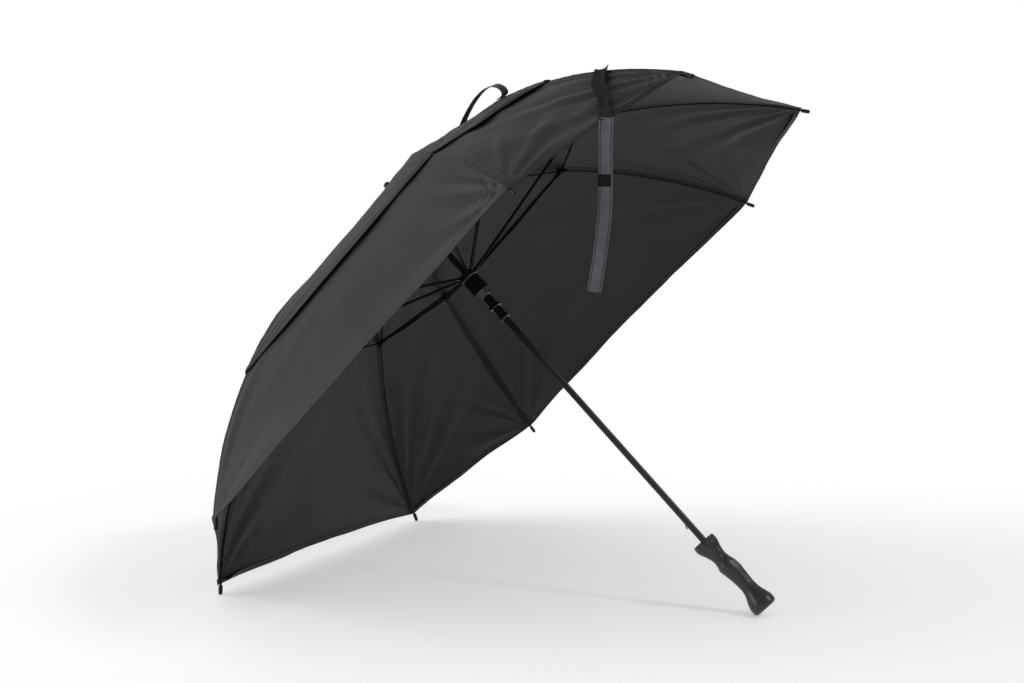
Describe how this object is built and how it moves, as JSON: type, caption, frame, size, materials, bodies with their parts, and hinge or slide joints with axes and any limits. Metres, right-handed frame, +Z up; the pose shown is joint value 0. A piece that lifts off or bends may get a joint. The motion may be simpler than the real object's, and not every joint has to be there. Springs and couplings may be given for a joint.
{
  "type": "golf umbrella",
  "caption": "Open golf umbrella with a squarish vented double canopy on folding ribs, a sliding runner, a straight shaft and a contoured handle, lying on rib tips and butt.",
  "frame": {"origin": "on the floor, below the middle of the open umbrella's box as it lies on two rib tips and the butt", "axes": "+Z up from the floor; the handle is towards +X and the canopy towards -X; +Y runs across the canopy, along its widest extent"},
  "size_m": [0.853, 1.1274, 0.8457],
  "materials": {
    "canopy_cloth": "plain-woven, coated",
    "rib_metal": "black lacquer",
    "shaft_coating": "satin black",
    "spring_steel": "drawn wire",
    "handle_rubber": "soft-touch",
    "moulded_plastic": "moulded",
    "webbing": "woven tape",
    "hook_patch": "hook and loop"
  },
  "bodies": {
    "shaft": {"shaft_tube": "shaft_coating", "crown_notch": "moulded_plastic", "crown_ring_wire": "spring_steel", "canopy_washer": "moulded_plastic", "ferrule_cap": "moulded_plastic", "handle_grip": "handle_rubber", "handle_end_cap": "handle_rubber"},
    "inner_rib_1": {"inner_rib_1": "rib_metal", "vent_gore_1": "canopy_cloth"},
    "outer_rib_1": {"outer_rib_1": "rib_metal", "canopy_gore_1": "canopy_cloth"},
    "stretcher_1": {"stretcher_1": "rib_metal"},
    "inner_rib_2": {"inner_rib_2": "rib_metal", "vent_gore_2": "canopy_cloth", "hanging_loop": "webbing"},
    "outer_rib_2": {"outer_rib_2": "rib_metal", "canopy_gore_2": "canopy_cloth", "strap_root": "webbing"},
    "stretcher_2": {"stretcher_2": "rib_metal"},
    "inner_rib_3": {"inner_rib_3": "rib_metal", "vent_gore_3": "canopy_cloth"},
    "outer_rib_3": {"outer_rib_3": "rib_metal", "canopy_gore_3": "canopy_cloth"},
    "stretcher_3": {"stretcher_3": "rib_metal"},
    "inner_rib_4": {"inner_rib_4": "rib_metal", "vent_gore_4": "canopy_cloth"},
    "outer_rib_4": {"outer_rib_4": "rib_metal", "canopy_gore_4": "canopy_cloth"},
    "stretcher_4": {"stretcher_4": "rib_metal"},
    "inner_rib_5": {"inner_rib_5": "rib_metal", "vent_gore_5": "canopy_cloth"},
    "outer_rib_5": {"outer_rib_5": "rib_metal", "canopy_gore_5": "canopy_cloth"},
    "stretcher_5": {"stretcher_5": "rib_metal"},
    "inner_rib_6": {"inner_rib_6": "rib_metal", "vent_gore_6": "canopy_cloth"},
    "outer_rib_6": {"outer_rib_6": "rib_metal", "canopy_gore_6": "canopy_cloth"},
    "stretcher_6": {"stretcher_6": "rib_metal"},
    "inner_rib_7": {"inner_rib_7": "rib_metal", "vent_gore_7": "canopy_cloth"},
    "outer_rib_7": {"outer_rib_7": "rib_metal", "canopy_gore_7": "canopy_cloth"},
    "stretcher_7": {"stretcher_7": "rib_metal"},
    "inner_rib_8": {"inner_rib_8": "rib_metal", "vent_gore_8": "canopy_cloth"},
    "outer_rib_8": {"outer_rib_8": "rib_metal", "canopy_gore_8": "canopy_cloth"},
    "stretcher_8": {"stretcher_8": "rib_metal"},
    "runner": {"runner_body": "moulded_plastic", "runner_sleeve": "moulded_plastic", "runner_ring_wire": "spring_steel"},
    "strap": {"strap_end": "webbing", "strap_patch": "hook_patch"},
    "open_catch": {"open_catch": "spring_steel"},
    "closed_catch": {"closed_catch": "spring_steel"}
  },
  "joints": [
    {"name": "canopy_fold", "type": "hinge", "parent": "shaft", "child": "inner_rib_1", "pos_m": [-0.26727, -0.01204, 0.65551], "axis": [0.5868, 0.5105, 0.6285], "range_deg": [0, 69.3], "deforming": ["vent_gore_1", "canopy_gore_1", "vent_gore_2", "canopy_gore_2", "vent_gore_3", "canopy_gore_3", "vent_gore_4", "canopy_gore_4", "vent_gore_5", "canopy_gore_5", "vent_gore_6", "canopy_gore_6", "vent_gore_7", "canopy_gore_7", "vent_gore_8", "canopy_gore_8", "strap_root", "strap_end", "strap_patch", "hanging_loop", "open_catch", "closed_catch"]},
    {"name": "inner_rib_hinge_2", "type": "hinge", "parent": "shaft", "child": "inner_rib_2", "pos_m": [-0.26393, -0.00715, 0.65909], "axis": [0.3484, 0.8599, 0.3732], "range_deg": [-0.01, 69.31]},
    {"name": "inner_rib_hinge_3", "type": "hinge", "parent": "shaft", "child": "inner_rib_3", "pos_m": [-0.26393, 0.00715, 0.65909], "axis": [-0.3484, 0.8599, -0.3732], "range_deg": [-0.01, 69.31]},
    {"name": "inner_rib_hinge_4", "type": "hinge", "parent": "shaft", "child": "inner_rib_4", "pos_m": [-0.26727, 0.01204, 0.65551], "axis": [-0.5868, 0.5105, -0.6285], "range_deg": [-0.01, 69.31]},
    {"name": "inner_rib_hinge_5", "type": "hinge", "parent": "shaft", "child": "inner_rib_5", "pos_m": [-0.27703, 0.01204, 0.64506], "axis": [-0.5868, -0.5105, -0.6285], "range_deg": [-0.01, 69.31]},
    {"name": "inner_rib_hinge_6", "type": "hinge", "parent": "shaft", "child": "inner_rib_6", "pos_m": [-0.28036, 0.00715, 0.64149], "axis": [-0.3484, -0.8599, -0.3732], "range_deg": [-0.01, 69.31]},
    {"name": "inner_rib_hinge_7", "type": "hinge", "parent": "shaft", "child": "inner_rib_7", "pos_m": [-0.28036, -0.00715, 0.64149], "axis": [0.3484, -0.8599, 0.3732], "range_deg": [-0.01, 69.31]},
    {"name": "inner_rib_hinge_8", "type": "hinge", "parent": "shaft", "child": "inner_rib_8", "pos_m": [-0.27703, -0.01204, 0.64506], "axis": [0.5868, -0.5105, 0.6285], "range_deg": [-0.01, 69.31]},
    {"name": "outer_rib_hinge_1", "type": "hinge", "parent": "inner_rib_1", "child": "outer_rib_1", "pos_m": [-0.0862, -0.28629, 0.70924], "axis": [0.5868, 0.5105, 0.6285], "range_deg": [-15.97, 0.01]},
    {"name": "stretcher_hinge_1", "type": "hinge", "parent": "inner_rib_1", "child": "stretcher_1", "pos_m": [-0.0862, -0.28629, 0.70924], "axis": [0.5868, 0.5105, 0.6285], "range_deg": [-138.61, 0.01]},
    {"name": "outer_rib_hinge_2", "type": "hinge", "parent": "inner_rib_2", "child": "outer_rib_2", "pos_m": [-0.00683, -0.16999, 0.79425], "axis": [0.3484, 0.8599, 0.3732], "range_deg": [-15.97, 0.01]},
    {"name": "stretcher_hinge_2", "type": "hinge", "parent": "inner_rib_2", "child": "stretcher_2", "pos_m": [-0.00683, -0.16999, 0.79425], "axis": [0.3484, 0.8599, 0.3732], "range_deg": [-138.61, 0.01]},
    {"name": "outer_rib_hinge_3", "type": "hinge", "parent": "inner_rib_3", "child": "outer_rib_3", "pos_m": [-0.00683, 0.16999, 0.79425], "axis": [-0.3484, 0.8599, -0.3732], "range_deg": [-15.97, 0.01]},
    {"name": "stretcher_hinge_3", "type": "hinge", "parent": "inner_rib_3", "child": "stretcher_3", "pos_m": [-0.00683, 0.16999, 0.79425], "axis": [-0.3484, 0.8599, -0.3732], "range_deg": [-138.61, 0.01]},
    {"name": "outer_rib_hinge_4", "type": "hinge", "parent": "inner_rib_4", "child": "outer_rib_4", "pos_m": [-0.0862, 0.28629, 0.70924], "axis": [-0.5868, 0.5105, -0.6285], "range_deg": [-15.97, 0.01]},
    {"name": "stretcher_hinge_4", "type": "hinge", "parent": "inner_rib_4", "child": "stretcher_4", "pos_m": [-0.0862, 0.28629, 0.70924], "axis": [-0.5868, 0.5105, -0.6285], "range_deg": [-138.61, 0.01]},
    {"name": "outer_rib_hinge_5", "type": "hinge", "parent": "inner_rib_5", "child": "outer_rib_5", "pos_m": [-0.31821, 0.28629, 0.46073], "axis": [-0.5868, -0.5105, -0.6285], "range_deg": [-15.97, 0.01]},
    {"name": "stretcher_hinge_5", "type": "hinge", "parent": "inner_rib_5", "child": "stretcher_5", "pos_m": [-0.31821, 0.28629, 0.46073], "axis": [-0.5868, -0.5105, -0.6285], "range_deg": [-138.61, 0.01]},
    {"name": "outer_rib_hinge_6", "type": "hinge", "parent": "inner_rib_6", "child": "outer_rib_6", "pos_m": [-0.39758, 0.16999, 0.37572], "axis": [-0.3484, -0.8599, -0.3732], "range_deg": [-15.97, 0.01]},
    {"name": "stretcher_hinge_6", "type": "hinge", "parent": "inner_rib_6", "child": "stretcher_6", "pos_m": [-0.39758, 0.16999, 0.37572], "axis": [-0.3484, -0.8599, -0.3732], "range_deg": [-138.61, 0.01]},
    {"name": "outer_rib_hinge_7", "type": "hinge", "parent": "inner_rib_7", "child": "outer_rib_7", "pos_m": [-0.39758, -0.16999, 0.37572], "axis": [0.3484, -0.8599, 0.3732], "range_deg": [-15.97, 0.01]},
    {"name": "stretcher_hinge_7", "type": "hinge", "parent": "inner_rib_7", "child": "stretcher_7", "pos_m": [-0.39758, -0.16999, 0.37572], "axis": [0.3484, -0.8599, 0.3732], "range_deg": [-138.61, 0.01]},
    {"name": "outer_rib_hinge_8", "type": "hinge", "parent": "inner_rib_8", "child": "outer_rib_8", "pos_m": [-0.31821, -0.28629, 0.46073], "axis": [0.5868, -0.5105, 0.6285], "range_deg": [-15.97, 0.01]},
    {"name": "stretcher_hinge_8", "type": "hinge", "parent": "inner_rib_8", "child": "stretcher_8", "pos_m": [-0.31821, -0.28629, 0.46073], "axis": [0.5868, -0.5105, 0.6285], "range_deg": [-138.61, 0.01]},
    {"name": "runner_hinge", "type": "hinge", "parent": "stretcher_1", "child": "runner", "pos_m": [-0.12738, -0.01204, 0.5249], "axis": [0.5868, 0.5105, 0.6285], "range_deg": [-0.01, 69.31]},
    {"name": "strap_hinge", "type": "hinge", "parent": "outer_rib_2", "child": "strap", "pos_m": [0.28309, -0.43988, 0.75715], "axis": [0.3484, 0.8599, 0.3732], "range_deg": [-94.39, 0.01]},
    {"name": "open_catch_press", "type": "hinge", "parent": "shaft", "child": "open_catch", "pos_m": [-0.02997, 0, 0.41926], "axis": [0, 1, 0], "range_deg": [0, 5], "stiffness_Nm_per_rad": 0.6, "springref_deg": -4},
    {"name": "closed_catch_press", "type": "hinge", "parent": "shaft", "child": "closed_catch", "pos_m": [0.30312, 0, 0.10827], "axis": [0, 1, 0], "range_deg": [0, 5], "stiffness_Nm_per_rad": 0.6, "springref_deg": -4}
  ],
  "couplings": [
    {"joint": "inner_rib_hinge_2", "follows": "canopy_fold", "ratio": 1},
    {"joint": "inner_rib_hinge_3", "follows": "canopy_fold", "ratio": 1},
    {"joint": "inner_rib_hinge_4", "follows": "canopy_fold", "ratio": 1},
    {"joint": "inner_rib_hinge_5", "follows": "canopy_fold", "ratio": 1},
    {"joint": "inner_rib_hinge_6", "follows": "canopy_fold", "ratio": 1},
    {"joint": "inner_rib_hinge_7", "follows": "canopy_fold", "ratio": 1},
    {"joint": "inner_rib_hinge_8", "follows": "canopy_fold", "ratio": 1},
    {"joint": "outer_rib_hinge_1", "follows": "canopy_fold", "ratio": -0.23035},
    {"joint": "stretcher_hinge_1", "follows": "canopy_fold", "ratio": -2},
    {"joint": "outer_rib_hinge_2", "follows": "canopy_fold", "ratio": -0.23035},
    {"joint": "stretcher_hinge_2", "follows": "canopy_fold", "ratio": -2},
    {"joint": "outer_rib_hinge_3", "follows": "canopy_fold", "ratio": -0.23035},
    {"joint": "stretcher_hinge_3", "follows": "canopy_fold", "ratio": -2},
    {"joint": "outer_rib_hinge_4", "follows": "canopy_fold", "ratio": -0.23035},
    {"joint": "stretcher_hinge_4", "follows": "canopy_fold", "ratio": -2},
    {"joint": "outer_rib_hinge_5", "follows": "canopy_fold", "ratio": -0.23035},
    {"joint": "stretcher_hinge_5", "follows": "canopy_fold", "ratio": -2},
    {"joint": "outer_rib_hinge_6", "follows": "canopy_fold", "ratio": -0.23035},
    {"joint": "stretcher_hinge_6", "follows": "canopy_fold", "ratio": -2},
    {"joint": "outer_rib_hinge_7", "follows": "canopy_fold", "ratio": -0.23035},
    {"joint": "stretcher_hinge_7", "follows": "canopy_fold", "ratio": -2},
    {"joint": "outer_rib_hinge_8", "follows": "canopy_fold", "ratio": -0.23035},
    {"joint": "stretcher_hinge_8", "follows": "canopy_fold", "ratio": -2},
    {"joint": "runner_hinge", "follows": "canopy_fold", "ratio": 1},
    {"joint": "strap_hinge", "follows": "canopy_fold", "ratio": -1.3619}
  ]
}
